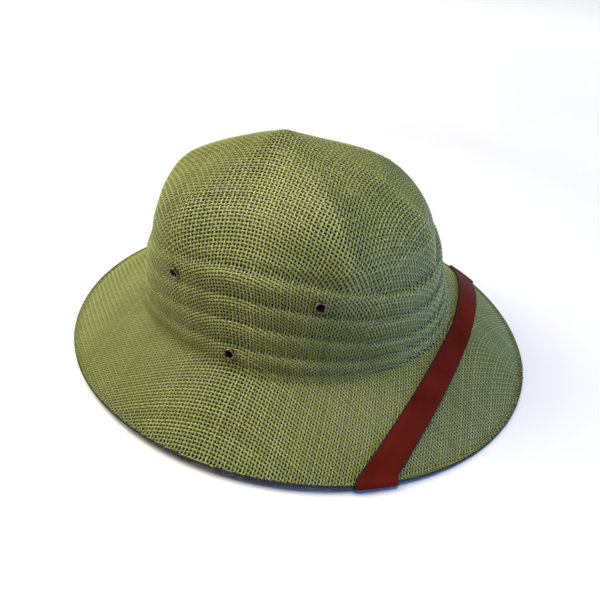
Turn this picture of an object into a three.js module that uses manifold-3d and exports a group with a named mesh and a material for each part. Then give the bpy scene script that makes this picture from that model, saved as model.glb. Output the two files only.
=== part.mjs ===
// A sun helmet of open woven straw, of the pith helmet form that beekeepers wear: a ridged crown
// with pressed ledges round its foot, a sloping brim with a bound edge, a flat chin strap worn
// over the front brim, and six air eyelets.
// Millimetres, +Z up, standing on the brim's edge. The front is -Y, the wearer's right is -X.

import * as THREE from 'three';
import { mergeVertices } from 'three/addons/utils/BufferGeometryUtils.js';
import Module from 'manifold-3d';

const wasm = await Module();
wasm.setup();

// Driving dimensions
const BRIM_WIDTH = 291;
const BRIM_LENGTH = 332;
const CREASE_WIDTH = 194.5;
const CREASE_LENGTH = 221;
const CREASE_HEIGHT = 38.6; // at the sides, above the floor
const CREASE_TILT = 0.028; // rise of the crease towards the front, per millimetre
const CROWN_HEIGHT = 114.8; // from the crease to the peak
const PEAK_SET_BACK = 12; // the peak stands this far behind the middle of the crease
const STRAW_WALL = 2;
const EDGE_LIFT = 5.7; // the brim's edge at the sides, above its front and back
const EDGE_FLAT_ANGLE = 20; // the edge lies flat on the floor this far each side of front and back
const GAP = 0.3; // between pieces that touch
const COLUMNS = 60; // columns of facets round the hat

const BRIM_CAMBER = 2; // upward bulge of the brim half way out
const BRIM_STEPS = 6;

const BINDING_WIDTH = 2.2;
const BINDING_HEIGHT = 2.6;
const BINDING_BEVEL = 0.6;

const STRAP_THICKNESS = 1.2;
const STRAP_CLEARANCE = 0.5; // between the strap and the straw under it
const STRAP_END_RISE = 4; // the strap's ends reach this far above the crease inside the crown

const EYELET = { hole: 2.6, barrel: 2.9, flange: 3.9, lip: 0.8, sides: 14 };

// Angles are counted in degrees from the front, positive towards the wearer's left.
const RIDGE_ANGLES = [0, 45.5, 124, 180];
const PANEL_DEPTHS = [1, 1.7, 1]; // how deep the front, side and rear panels are scooped, as shares
const RIDGE_SOFTNESS = 0.08; // 0 would make the ridges sharp
const RIDGE_SWING = 3.5; // the ridges start this far nearer the ends and finish nearer the sides
const QUARTER_FULLNESS = { front: 0.02, rear: 0.06 }; // swelling half way from side to end, as a share

// Crown sections from the peak down, with the columns name, side, front, rear, spread, scoop, full
// and tilt. side, front and rear are heights above the crease there, spread is the share of the
// crease's size, scoop is how far the panels sink between the ridges, full is how much of the
// fullness in the quarters the section takes, and tilt is the wall's lean in degrees, from 0 for
// upright to 90 for level.
const CROWN_SECTIONS = [
  ['peak', CROWN_HEIGHT, CROWN_HEIGHT, CROWN_HEIGHT, 0, 0, 0, 90],
  ['peak_round', 113.2, 113.2, 113.2, 0.045, 0, 0, 78],
  ['peak_foot', 109.6, 109.6, 109.6, 0.12, 0.3, 0, 68],
  ['top_inner', 104.9, 105.1, 105.1, 0.24, 1.4, 0, 66],
  ['top_middle', 98.5, 101, 100.2, 0.392, 2.8, 0, 66],
  ['top_outer', 92.2, 94.6, 93.6, 0.55, 3.8, 0, 60],
  ['shoulder_top', 86.2, 85, 88.2, 0.672, 4.4, 0.25, 48],
  ['shoulder', 79, 77.6, 81.6, 0.75, 4.8, 0.5, 34],
  ['shoulder_foot', 71.5, 70.5, 73.8, 0.81, 4.6, 0.8, 22],
  ['panel_low', 68, 60, 58, 0.852, 3.8, 1, 14],
  ['sill', 63.8, 41, 46.2, 0.868, 3, 1, 8],
  ['ledge_0', 62.3, 39.2, 36.2, 0.888, 1, 1, 4],
  ['lip_0', 58.8, 36, 33, 0.894, 0, 1, 0],
  ['tuck_0', 47.6, 25.5, 27.8, 0.89, 0, 1, 0],
  ['ledge_1', 46.2, 24.3, 26.6, 0.911, 0, 1, 0],
  ['lip_1', 42.7, 21.8, 24.1, 0.92, 0, 0.95, 0],
  ['tuck_1', 32.2, 11.9, 14.8, 0.918, 0, 0.8, 0],
  ['ledge_2', 30.8, 10.8, 13.7, 0.939, 0, 0.8, 0],
  ['lip_2', 27.3, 9, 11.9, 0.949, 0, 0.7, 0],
  ['tuck_2', 16.1, 4.7, 4.7, 0.947, 0, 0.5, 0],
  ['ledge_3', 14.7, 3.7, 3.7, 0.968, 0, 0.5, 0],
  ['lip_3', 11.2, 2.3, 2.3, 0.979, 0, 0.35, 0],
  ['tuck_3', 3.2, 1.2, 1.2, 0.981, 0, 0.15, 0],
  ['foot', GAP, GAP, GAP, 1, 0, 0, 0],
].map(([name, side, front, rear, spread, scoop, full, tilt]) =>
  ({ name, side, front, rear, spread, scoop, full, tilt }));

// Eyelets of one side: angle from the front and height of the hole above the crease
const EYELET_PLACES = [
  { name: 'fore', angle: 58, height: 47.7 },
  { name: 'aft', angle: 118.8, height: 48.6 },
  { name: 'low', angle: 92, height: 10.2 },
];

// The strap's two long edges. In plan each is a parabola across the front, from middle (the
// distance from the origin to the front) with bend per square millimetre, to the angle where it
// goes over the brim's edge. It ends at the angle where it reaches the crease under the brim.
const STRAP_EDGES = [
  { name: 'inner', middle: 111.4, bend: 0.00134, overEdge: 57.5, atCrease: 94 },
  { name: 'outer', middle: 124.3, bend: 0.00125, overEdge: 48, atCrease: 83 },
];
const STRAP_STEPS = { across: 3, front: 12, wrap: 6, under: 8 };

// Materials
const finish = (color, roughness, metalness = 0) => () =>
  new THREE.MeshStandardMaterial({ color, roughness, metalness });
const straw = finish(0x8c9648, 0.75);
const edging = finish(0x3c4240, 0.8);
const strapLeather = finish(0x591409, 0.45);
const bronze = finish(0x5a4030, 0.4, 0.9);

// Small helpers
const radians = THREE.MathUtils.degToRad;
const columnAngles = Array.from({ length: COLUMNS }, (_, i) => (360 / COLUMNS) * i);
const MERGE_DISTANCE = 1e-3; // vertices nearer than this become one
const SLOPE_STEP = 0.05; // share of the brim's width over which its slope is taken
const SEARCH_ROUNDS = 20;
const FLANGE_SAMPLES = [-1, -0.5, 0, 0.5, 1]; // places across an eyelet's flange, in radii

function steps(count) {
  return Array.from({ length: count + 1 }, (_, i) => i / count);
}

// A closed mesh over rings of points that follow each other. A ring of one point closes an end;
// with loop the last ring joins the first instead.
function loft(rings, loop = false) {
  const positions = [];
  const starts = rings.map((ring) => {
    const start = positions.length / 3;
    ring.forEach((point) => positions.push(point.x, point.y, point.z));
    return start;
  });
  const index = [];
  const spans = loop ? rings.length : rings.length - 1;
  for (let i = 0; i < spans; i += 1) {
    const j = (i + 1) % rings.length;
    const count = Math.max(rings[i].length, rings[j].length);
    for (let k = 0; k < count; k += 1) {
      const next = (k + 1) % count;
      const [a, b] = rings[i].length > 1 ? [starts[i] + k, starts[i] + next] : [starts[i], starts[i]];
      const [c, d] = rings[j].length > 1 ? [starts[j] + k, starts[j] + next] : [starts[j], starts[j]];
      if (a !== b) index.push(a, b, d);
      if (c !== d) index.push(a, d, c);
    }
  }
  const geometry = new THREE.BufferGeometry();
  geometry.setAttribute('position', new THREE.Float32BufferAttribute(positions, 3));
  geometry.setIndex(index);
  return facedOut(geometry);
}

// Six times the volume that the triangles enclose
function signedVolume(geometry) {
  const at = (i) => new THREE.Vector3().fromBufferAttribute(geometry.attributes.position, i);
  const index = geometry.index.array;
  let sum = 0;
  for (let i = 0; i < index.length; i += 3) {
    sum += at(index[i]).dot(at(index[i + 1]).cross(at(index[i + 2])));
  }
  return sum;
}

function facedOut(geometry) {
  if (signedVolume(geometry) < 0) {
    geometry.setIndex(Array.from(geometry.index.array).reverse());
  }
  geometry.computeVertexNormals();
  return geometry;
}

// Boolean cuts
function toSolid(geometry) {
  const bare = geometry.clone();
  bare.deleteAttribute('normal');
  bare.deleteAttribute('uv');
  const merged = mergeVertices(bare, MERGE_DISTANCE);
  const vertProperties = new Float32Array(merged.attributes.position.array);
  const triVerts = new Uint32Array(merged.index.array);
  return new wasm.Manifold(new wasm.Mesh({ numProp: 3, vertProperties, triVerts }));
}

function toGeometry(solid) {
  const mesh = solid.getMesh();
  const geometry = new THREE.BufferGeometry();
  geometry.setAttribute('position', new THREE.Float32BufferAttribute(mesh.vertProperties, 3));
  geometry.setIndex(Array.from(mesh.triVerts));
  geometry.computeVertexNormals();
  return geometry;
}

// The crown's outer surface
// How far the panel at an angle sinks, as a share from 0 on a ridge to the panel's depth half way
function panelScoop(angle) {
  const around = Math.abs(THREE.MathUtils.euclideanModulo(angle + 180, 360) - 180);
  const i = Math.min(RIDGE_ANGLES.findLastIndex((ridge) => ridge <= around), RIDGE_ANGLES.length - 2);
  const across = (around - RIDGE_ANGLES[i]) / (RIDGE_ANGLES[i + 1] - RIDGE_ANGLES[i]);
  const sunk = Math.hypot(4 * across * (1 - across), RIDGE_SOFTNESS) - RIDGE_SOFTNESS;
  return sunk * PANEL_DEPTHS[i];
}

// The direction of a column of the crown on a section, in radians
const SILL_SPREAD = CROWN_SECTIONS.find(({ name }) => name === 'sill').spread;
function swungAngle({ spread }, angle) {
  const downwards = 2 * Math.min(spread / SILL_SPREAD, 1) - 1;
  return radians(angle + RIDGE_SWING * downwards * Math.sin(radians(2 * angle)));
}

function sectionHeight(section, angle) {
  const along = Math.cos(swungAngle(section, angle));
  const end = along > 0 ? section.front : section.rear;
  return section.side + (end - section.side) * along * along;
}

// How much larger than an ellipse a section is in a direction
function sectionFullness({ full }, direction) {
  const quarter = Math.cos(direction) > 0 ? QUARTER_FULLNESS.front : QUARTER_FULLNESS.rear;
  return 1 + full * quarter * Math.sin(2 * direction) ** 2;
}

// A point of a section, moved inwards by depth along the wall's lean
function crownPoint(section, angle, depth = 0) {
  const height = sectionHeight(section, angle);
  const lean = radians(section.tilt);
  const direction = swungAngle(section, angle);
  const size = section.spread * sectionFullness(section, direction);
  const x = (CREASE_WIDTH / 2) * size * Math.sin(direction);
  const y = (-CREASE_LENGTH / 2) * size * Math.cos(direction);
  const radius = Math.hypot(x, y);
  const inset = section.scoop * panelScoop(angle) + depth * Math.cos(lean);
  const shrink = radius > inset ? 1 - inset / radius : 0;
  const setBack = PEAK_SET_BACK * (height / CROWN_HEIGHT) ** 2;
  const lift = CREASE_HEIGHT - CREASE_TILT * y + height - depth * Math.sin(lean);
  return new THREE.Vector3(x * shrink, y * shrink + setBack, lift);
}

function crownRing(section, depth) {
  const angles = section.spread > 0 ? columnAngles : [0];
  return angles.map((angle) => crownPoint(section, angle, depth));
}

// The wall at any height above the crease, between two sections
function wallPoint(angle, height, depth = 0) {
  const last = CROWN_SECTIONS.length - 2;
  const below = (section) => sectionHeight(section, angle) < height;
  const found = CROWN_SECTIONS.findIndex(below);
  const i = Math.min(Math.max(found - 1, 0), last);
  const upper = sectionHeight(CROWN_SECTIONS[i], angle);
  const lower = sectionHeight(CROWN_SECTIONS[i + 1], angle);
  const share = (upper - height) / (upper - lower);
  const top = crownPoint(CROWN_SECTIONS[i], angle, depth);
  return top.lerp(crownPoint(CROWN_SECTIONS[i + 1], angle, depth), share);
}

// Eyelets
// Where an eyelet stands on the wall: its axis points out, seat is the distance along the axis
// at which its outer flange clears the wall, and depth that of its inner flange
function eyeletSeat({ angle, height }) {
  const reach = EYELET.flange;
  const turn = THREE.MathUtils.radToDeg(reach / (CREASE_WIDTH / 2));
  const centre = wallPoint(angle, height);
  const across = wallPoint(angle + turn, height).sub(wallPoint(angle - turn, height));
  const up = wallPoint(angle, height + reach).sub(wallPoint(angle, height - reach));
  const axis = across.cross(up).normalize();
  const offsets = (depth) =>
    FLANGE_SAMPLES.flatMap((i) =>
      FLANGE_SAMPLES.map((j) =>
        wallPoint(angle + i * turn, height + j * reach, depth).sub(centre).dot(axis)));
  const seat = Math.max(...offsets(0)) + GAP;
  const depth = Math.min(...offsets(STRAW_WALL)) - GAP;
  return { centre, axis, seat, depth };
}

function alongAxis(object, { centre, axis }) {
  object.position.copy(centre);
  object.quaternion.setFromUnitVectors(new THREE.Vector3(0, 1, 0), axis);
  return object;
}

// A rolled eyelet: a barrel through the wall between an outer and an inner flange
function eyeletGeometry({ seat, depth }) {
  const { hole, barrel, flange, lip, sides } = EYELET;
  const profile = [
    [hole, depth - lip],
    [flange, depth - lip],
    [flange, depth],
    [barrel, depth],
    [barrel, seat],
    [flange, seat],
    [flange - lip / 2, seat + lip],
    [hole, seat + lip],
    [hole, depth - lip],
  ];
  const lathe = new THREE.LatheGeometry(profile.map(([r, z]) => new THREE.Vector2(r, z)), sides);
  lathe.deleteAttribute('normal');
  lathe.deleteAttribute('uv');
  return facedOut(mergeVertices(lathe, MERGE_DISTANCE));
}

function eyeletHole({ seat, depth }) {
  const margin = EYELET.flange;
  const length = seat - depth + 2 * margin;
  const cylinder = new THREE.CylinderGeometry(
    EYELET.barrel + GAP, EYELET.barrel + GAP, length, EYELET.sides);
  cylinder.translate(0, (seat + depth) / 2, 0);
  return cylinder;
}

const eyelets = [['right', -1], ['left', 1]].flatMap(([side, sign]) =>
  EYELET_PLACES.map(({ name, angle, height }) => {
    const seat = eyeletSeat({ angle: sign * angle, height });
    return { name: `eyelet_${side}_${name}`, seat };
  }));

// Crown: outer sections down to the foot, inner ones back up, less the eyelet holes
function crownGeometry() {
  const outer = CROWN_SECTIONS.map((section) => crownRing(section, 0));
  const inner = CROWN_SECTIONS.map((section) => crownRing(section, STRAW_WALL)).reverse();
  let solid = toSolid(loft([...outer, ...inner]));
  for (const { seat } of eyelets) {
    const hole = alongAxis(new THREE.Mesh(eyeletHole(seat)), seat);
    hole.updateMatrix();
    solid = solid.subtract(toSolid(hole.geometry.applyMatrix4(hole.matrix)));
  }
  return toGeometry(solid);
}

// Brim
// Height of the hat's edge above the floor: flat at the front and back, lifted at the sides
function edgeLift(angle) {
  const level = Math.sin(radians(EDGE_FLAT_ANGLE)) ** 2;
  const share = (Math.sin(radians(angle)) ** 2 - level) / (1 - level);
  return EDGE_LIFT * Math.max(share, 0);
}

// A point of the hat's outline, moved inwards by inset and up by rise
function edgePoint(angle, inset = 0, rise = 0) {
  const x = (BRIM_WIDTH / 2 - inset) * Math.sin(radians(angle));
  const y = -(BRIM_LENGTH / 2 - inset) * Math.cos(radians(angle));
  return new THREE.Vector3(x, y, edgeLift(angle) + rise);
}

function creasePoint(angle, inset = 0) {
  const x = (CREASE_WIDTH / 2 - inset) * Math.sin(radians(angle));
  const y = -(CREASE_LENGTH / 2 - inset) * Math.cos(radians(angle));
  return new THREE.Vector3(x, y, CREASE_HEIGHT - CREASE_TILT * y);
}

const BRIM_EDGE_INSET = BINDING_WIDTH + GAP;
const BRIM_EDGE_RISE = (BINDING_HEIGHT + STRAW_WALL) / 2;

// The brim's upper face, from the crease (out = 0) to its edge (out = 1)
function brimPoint(angle, out, drop = 0) {
  const point = creasePoint(angle).lerp(edgePoint(angle, BRIM_EDGE_INSET, BRIM_EDGE_RISE), out);
  point.z += BRIM_CAMBER * 4 * out * (1 - out) - drop;
  return point;
}

function brimGeometry() {
  const root = (drop) => columnAngles.map((angle) => {
    const point = creasePoint(angle, STRAW_WALL);
    point.z -= drop;
    return point;
  });
  const face = (drop) => steps(BRIM_STEPS).map((out) =>
    columnAngles.map((angle) => brimPoint(angle, out, drop)));
  const upper = [root(0), ...face(0)];
  const lower = [root(STRAW_WALL), ...face(STRAW_WALL)].reverse();
  return loft([...upper, ...lower], true);
}

// Brim edge binding: a bevelled bead outside the brim's edge, flat underneath
function bindingGeometry() {
  const [w, h, b] = [BINDING_WIDTH, BINDING_HEIGHT, BINDING_BEVEL];
  const section = [[b, 0], [w - b, 0], [w, b], [w, h - b], [w - b, h], [b, h], [0, h - b], [0, b]];
  const rings = section.map(([inset, rise]) =>
    columnAngles.map((angle) => edgePoint(angle, inset, rise)));
  return loft(rings, true);
}

// Chin strap
// The angle whose ray on the brim passes over a plan position, and how far out it lies there
function brimCoordinates(x, y) {
  let angle = THREE.MathUtils.radToDeg(Math.atan2(x, -y));
  let out = 0;
  for (let round = 0; round < SEARCH_ROUNDS; round += 1) {
    const inner = brimPoint(angle, 0);
    const outer = brimPoint(angle, 1);
    const span = outer.clone().sub(inner);
    out = ((x - inner.x) * span.x + (y - inner.y) * span.y) / (span.x ** 2 + span.y ** 2);
    const here = brimPoint(angle, out);
    const turn = Math.atan2(x, -y) - Math.atan2(here.x, -here.y);
    angle += THREE.MathUtils.radToDeg(turn);
  }
  return { angle, out };
}

// Unit vectors at the brim's edge: along it, outwards down the slope, and up from its face
function edgeFrame(angle) {
  const along = brimPoint(angle + 1, 1).sub(brimPoint(angle - 1, 1)).normalize();
  const slope = brimPoint(angle, 1).sub(brimPoint(angle, 1 - 2 * SLOPE_STEP)).normalize();
  const up = slope.clone().cross(along).normalize();
  if (up.z < 0) up.negate();
  const outward = along.clone().cross(up).normalize();
  if (outward.dot(slope) < 0) outward.negate();
  return { outward, up };
}

// The strap's middle layer lies this far from the face that it covers
const STRAP_OFFSET = STRAP_CLEARANCE + STRAP_THICKNESS / 2;
const WRAP_RADIUS = BINDING_HEIGHT / 2 + STRAP_OFFSET;

// The upward direction across the brim's face
function faceUp(angle, out) {
  const across = brimPoint(angle + 1, out).sub(brimPoint(angle - 1, out));
  const down = brimPoint(angle, out + SLOPE_STEP).sub(brimPoint(angle, out - SLOPE_STEP));
  const up = down.cross(across).normalize();
  return up.z < 0 ? up.negate() : up;
}

// A station of the strap: a point of its middle layer and the way that its outer side faces
function station(base, facing, offset = STRAP_OFFSET) {
  return { point: base.clone().addScaledVector(facing, offset), facing };
}

// Across the front brim, from the middle to just short of the brim's edge
function strapOverBrim({ middle, bend, overEdge }) {
  const rim = brimPoint(overEdge, 1);
  const miss = rim.y + middle - bend * rim.x ** 2;
  return steps(STRAP_STEPS.front).slice(0, -1).map((share) => {
    const x = rim.x * share;
    const { angle, out } = brimCoordinates(x, bend * x * x - middle + miss * share);
    return station(brimPoint(angle, out), faceUp(angle, out));
  });
}

// Half a turn round the bound edge
function strapRoundEdge({ overEdge }) {
  const { outward, up } = edgeFrame(overEdge);
  const bead = edgePoint(overEdge, BINDING_WIDTH / 2, BINDING_HEIGHT / 2);
  return steps(STRAP_STEPS.wrap).map((share) => {
    const facing = up.clone().multiplyScalar(Math.cos(Math.PI * share));
    facing.addScaledVector(outward, Math.sin(Math.PI * share));
    return station(bead, facing, WRAP_RADIUS);
  });
}

// Back under the brim to the crease, round the brim's root and a little way up inside the crown
function strapUnderBrim({ overEdge, atCrease }) {
  const under = steps(STRAP_STEPS.under).slice(1).map((share) => {
    const angle = THREE.MathUtils.lerp(overEdge, atCrease, share);
    return station(brimPoint(angle, 1 - share, STRAW_WALL), faceUp(angle, 1 - share).negate());
  });
  const root = creasePoint(atCrease, STRAW_WALL);
  root.z -= STRAW_WALL;
  const inward = new THREE.Vector3(-root.x, -root.y, 0).normalize();
  const round = faceUp(atCrease, 0).negate().add(inward).normalize();
  const end = wallPoint(atCrease, STRAP_END_RISE, STRAW_WALL);
  return [...under, station(root, round), station(end, inward)];
}

// One long line of the strap, from its end on the wearer's right to its end on the left
function strapLine(line) {
  const left = [...strapOverBrim(line), ...strapRoundEdge(line), ...strapUnderBrim(line)];
  const mirror = new THREE.Vector3(-1, 1, 1);
  const right = left.slice(1).reverse().map(({ point, facing }) =>
    ({ point: point.clone().multiply(mirror), facing: facing.clone().multiply(mirror) }));
  return [...right, ...left];
}

// A line that lies between the strap's two long edges
function strapLineBetween(share) {
  const [inner, outer] = STRAP_EDGES;
  const mixed = (key) => THREE.MathUtils.lerp(inner[key], outer[key], share);
  return strapLine({
    middle: mixed('middle'),
    bend: mixed('bend'),
    overEdge: mixed('overEdge'),
    atCrease: mixed('atCrease'),
  });
}

function strapGeometry() {
  const lines = steps(STRAP_STEPS.across).map(strapLineBetween);
  const layer = (i, half) => lines.map((line) =>
    line[i].point.clone().addScaledVector(line[i].facing, half));
  const sections = lines[0].map((_, i) =>
    [...layer(i, STRAP_THICKNESS / 2), ...layer(i, -STRAP_THICKNESS / 2).reverse()]);
  const middleOf = (section) => section
    .reduce((sum, point) => sum.add(point), new THREE.Vector3())
    .divideScalar(section.length);
  return loft([[middleOf(sections[0])], ...sections, [middleOf(sections.at(-1))]]);
}

// The hat
const hat = new THREE.Group();

function addPiece(name, geometry, material) {
  const mesh = new THREE.Mesh(geometry, material());
  mesh.name = name;
  hat.add(mesh);
  return mesh;
}

addPiece('crown', crownGeometry(), straw);
addPiece('brim', brimGeometry(), straw);
addPiece('brim_edge_binding', bindingGeometry(), edging);
addPiece('chin_strap', strapGeometry(), strapLeather);
for (const { name, seat } of eyelets) {
  alongAxis(addPiece(name, eyeletGeometry(seat), bronze), seat);
}

export default hat;
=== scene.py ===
"""A beekeeper's sun helmet of open woven straw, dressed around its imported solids.

The straw of the crown and brim is woven strand by strand over the hat's form. Sizes are in
millimetres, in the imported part's frame: +Z up, -Y to the wearer's front, -X to the wearer's right.
Angles round the hat are in degrees from the front, positive towards the wearer's left.
"""

import logging
import math
from dataclasses import astuple, dataclass, field
from enum import Enum

import bpy
import numpy as np
from bpy.types import Material, Node, NodeSocket, Object
from mathutils import Matrix, Vector


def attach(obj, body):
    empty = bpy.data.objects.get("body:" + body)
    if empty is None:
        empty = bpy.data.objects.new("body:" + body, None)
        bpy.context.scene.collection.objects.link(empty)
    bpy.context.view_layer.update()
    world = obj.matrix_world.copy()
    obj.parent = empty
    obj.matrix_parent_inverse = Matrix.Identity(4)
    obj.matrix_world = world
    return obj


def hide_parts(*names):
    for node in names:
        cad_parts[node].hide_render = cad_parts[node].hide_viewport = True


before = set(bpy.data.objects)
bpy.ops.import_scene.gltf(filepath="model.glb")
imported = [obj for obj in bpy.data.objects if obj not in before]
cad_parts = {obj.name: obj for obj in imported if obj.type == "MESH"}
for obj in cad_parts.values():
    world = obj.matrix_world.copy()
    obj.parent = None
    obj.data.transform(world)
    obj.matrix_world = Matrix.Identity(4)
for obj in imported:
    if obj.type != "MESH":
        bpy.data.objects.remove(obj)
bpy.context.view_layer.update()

LOG = logging.getLogger("hat")
MM = 0.001
BODY = "root"
TINY = 1e-12  # keeps a division by a length from failing at zero


# Shader helpers and finishes


def grey(value: float) -> tuple:
    """A grey colour."""
    return (value, value, value)


class Shader:
    """The nodes of one material, with short calls to add and join them."""

    NOISE_SPAN = (0.3, 0.7)  # most values of a noise texture lie between these
    TINT_SPAN = (0.25, 0.75)  # a factor's values at the two greys of a tint

    def __init__(self, name: str) -> None:
        """Starts a material that has a Principled shader.

        Args:
            name: the material's name.
        """
        self.material = bpy.data.materials.new(name)
        self.material.use_nodes = True
        self.tree = self.material.node_tree
        self.principled = self.tree.nodes["Principled BSDF"]

    def add(self, kind: str, **inputs: object) -> Node:
        """Adds a node and sets its inputs.

        Args:
            kind: the node's type name without the ShaderNode prefix.
            inputs: values or output sockets by input name, with spaces written as underscores.

        Returns:
            The new node.
        """
        node = self.tree.nodes.new("ShaderNode" + kind)
        for name, value in inputs.items():
            self.give(node.inputs[name.replace("_", " ")], value)
        return node

    def give(self, socket: NodeSocket, value: object) -> None:
        """Sets a socket to a value or joins it to another node's output.

        Args:
            socket: the input socket.
            value: a value, or the output socket to join.
        """
        if isinstance(value, NodeSocket):
            self.tree.links.new(value, socket)
        else:
            socket.default_value = value

    def shade(self, **inputs: object) -> None:
        """Sets inputs of the Principled shader."""
        for name, value in inputs.items():
            self.give(self.principled.inputs[name.replace("_", " ")], value)

    def ramp(self, factor: NodeSocket, stops: tuple) -> NodeSocket:
        """Adds a colour ramp.

        Args:
            factor: the socket that drives the ramp.
            stops: pairs of position and linear RGB colour.

        Returns:
            The ramp's colour socket.
        """
        node = self.add("ValToRGB", Fac=factor)
        elements = node.color_ramp.elements
        while len(elements) < len(stops):
            elements.new(1.0)
        for element, (position, colour) in zip(elements, stops):
            element.position = position
            element.color = (*colour, 1.0)
        return node.outputs["Color"]

    def two_tone(self, factor: NodeSocket, dark: tuple, light: tuple,
                 span: tuple = NOISE_SPAN) -> NodeSocket:
        """Adds a ramp between two colours.

        Args:
            factor: the socket that drives the ramp.
            dark: linear RGB colour where the span starts.
            light: linear RGB colour where it ends.
            span: the factor's values at the two colours.

        Returns:
            The ramp's colour socket.
        """
        return self.ramp(factor, ((span[0], dark), (span[1], light)))

    def stored(self, name: str) -> NodeSocket:
        """Reads a number that is stored on the mesh's points.

        Args:
            name: the number's name.

        Returns:
            Its socket.
        """
        node = self.add("Attribute")
        node.attribute_name = name
        return node.outputs["Fac"]

    def places(self, kind: str) -> NodeSocket:
        """Texture coordinates of one kind, such as Object or UV."""
        return self.add("TexCoord").outputs[kind]

    def noise(self, where: NodeSocket, scale: float, detail: float = 3.0) -> NodeSocket:
        """Adds a noise texture and returns its value."""
        return self.add("TexNoise", Vector=where, Scale=scale, Detail=detail).outputs["Fac"]

    def distance(self, where: NodeSocket) -> NodeSocket:
        """Measures coordinates from their origin.

        Args:
            where: the coordinates' socket.

        Returns:
            The distance's socket, in metres.
        """
        node = self.add("VectorMath", Vector=where)
        node.operation = "LENGTH"
        return node.outputs["Value"]

    def stretched(self, where: NodeSocket, scale: tuple) -> NodeSocket:
        """Scales coordinates along each axis and returns them."""
        return self.add("Mapping", Vector=where, Scale=scale).outputs["Vector"]

    def tinted(self, colour: NodeSocket, factor: NodeSocket, first: float,
               last: float) -> NodeSocket:
        """Multiplies a colour by a grey.

        Args:
            colour: the colour's socket.
            factor: the socket that drives the grey.
            first: the grey where the factor is low.
            last: the grey where it is high.

        Returns:
            The new colour's socket.
        """
        tone = self.two_tone(factor, grey(first), grey(last), self.TINT_SPAN)
        node = self.add("MixRGB", Fac=1.0, Color1=colour, Color2=tone)
        node.blend_type = "MULTIPLY"
        return node.outputs["Color"]

    def bump(self, height: NodeSocket, strength: float, depth: float) -> None:
        """Roughens the surface by a height, with depth in millimetres."""
        node = self.add("Bump", Height=height, Strength=strength, Distance=depth * MM)
        self.shade(Normal=node.outputs["Normal"])


@dataclass(frozen=True)
class StrawFinish:
    """Dyed straw: olive strands that differ a little from each other, with fibres along them, and
    painted shade on their flanks and undersides.
    """

    name: str = "olive_straw"
    dark: tuple = (0.150, 0.164, 0.034)
    middle: tuple = (0.268, 0.280, 0.068)
    light: tuple = (0.420, 0.415, 0.126)
    flank_painted_shade: float = 0.06
    patch_scale: float = 16.0
    patch_greys: tuple = (0.84, 1.12)
    fibre_stretch: tuple = (3.0, 26.0, 1.0)
    fibre_greys: tuple = (0.78, 1.14)
    fibre_strength: float = 0.5
    fibre_depth: float = 0.1
    roughness: float = 0.48
    specular: float = 0.4

    def material(self) -> Material:
        """Makes the straw's material.

        Returns:
            The material.
        """
        shader = Shader(self.name)
        colour = shader.ramp(
            shader.stored("tint"), ((0.0, self.dark), (0.5, self.middle), (1.0, self.light)))
        patches = shader.noise(shader.places("Object"), self.patch_scale)
        fibres = shader.noise(shader.stretched(shader.places("UV"), self.fibre_stretch), 1.0)
        colour = shader.tinted(colour, patches, *self.patch_greys)
        colour = shader.tinted(colour, fibres, *self.fibre_greys)
        # Painted shade on the strands' flanks and undersides, which also darkens the gaps between
        # strands
        colour = shader.tinted(colour, shader.stored("shade"), 1.0, self.flank_painted_shade)
        shader.shade(
            Base_Color=colour, Roughness=self.roughness, Specular_IOR_Level=self.specular)
        shader.bump(fibres, self.fibre_strength, self.fibre_depth)
        return shader.material


@dataclass(frozen=True)
class GrainFinish:
    """A dark, matt finish with a fine grain."""

    name: str
    dark: tuple
    light: tuple
    grain_scale: float
    roughness: float
    specular: float
    strength: float
    depth: float

    def material(self) -> Material:
        """Makes the finish's material.

        Returns:
            The material.
        """
        shader = Shader(self.name)
        grain = shader.noise(shader.places("Object"), self.grain_scale)
        colour = shader.two_tone(grain, self.dark, self.light)
        shader.shade(
            Base_Color=colour, Roughness=self.roughness, Specular_IOR_Level=self.specular)
        shader.bump(grain, self.strength, self.depth)
        return shader.material


# Dark grey tape under and round the brim's edge
EDGING_TAPE = GrainFinish(
    "bound_edging", dark=(0.014, 0.016, 0.014), light=(0.034, 0.037, 0.032), grain_scale=900.0,
    roughness=0.78, specular=0.3, strength=0.4, depth=0.2)
# Black paint along the strap's cut edges
EDGE_PAINT = GrainFinish(
    "black_edge_paint", dark=(0.006, 0.006, 0.006), light=(0.016, 0.014, 0.013),
    grain_scale=500.0, roughness=0.6, specular=0.15, strength=0.3, depth=0.1)


@dataclass(frozen=True)
class LeatherFinish:
    """Smooth red-brown strap leather with a fine grain and a satin top."""

    name: str = "oxblood_leather"
    dark: tuple = (0.085, 0.0075, 0.0030)
    light: tuple = (0.135, 0.0120, 0.0045)
    cloud_scale: float = 45.0
    smooth: float = 0.5
    rough: float = 0.6
    specular: float = 0.02
    grain_scale: float = 700.0
    grain_detail: float = 2.0
    grain_strength: float = 0.25
    grain_depth: float = 0.08

    def material(self) -> Material:
        """Makes the leather's material.

        Returns:
            The material.
        """
        shader = Shader(self.name)
        clouds = shader.noise(shader.places("Object"), self.cloud_scale)
        grain = shader.noise(shader.places("Object"), self.grain_scale, self.grain_detail)
        colour = shader.two_tone(clouds, self.dark, self.light)
        roughness = shader.two_tone(clouds, grey(self.smooth), grey(self.rough))
        shader.shade(Base_Color=colour, Roughness=roughness, Specular_IOR_Level=self.specular)
        shader.bump(grain, self.grain_strength, self.grain_depth)
        return shader.material


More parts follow.
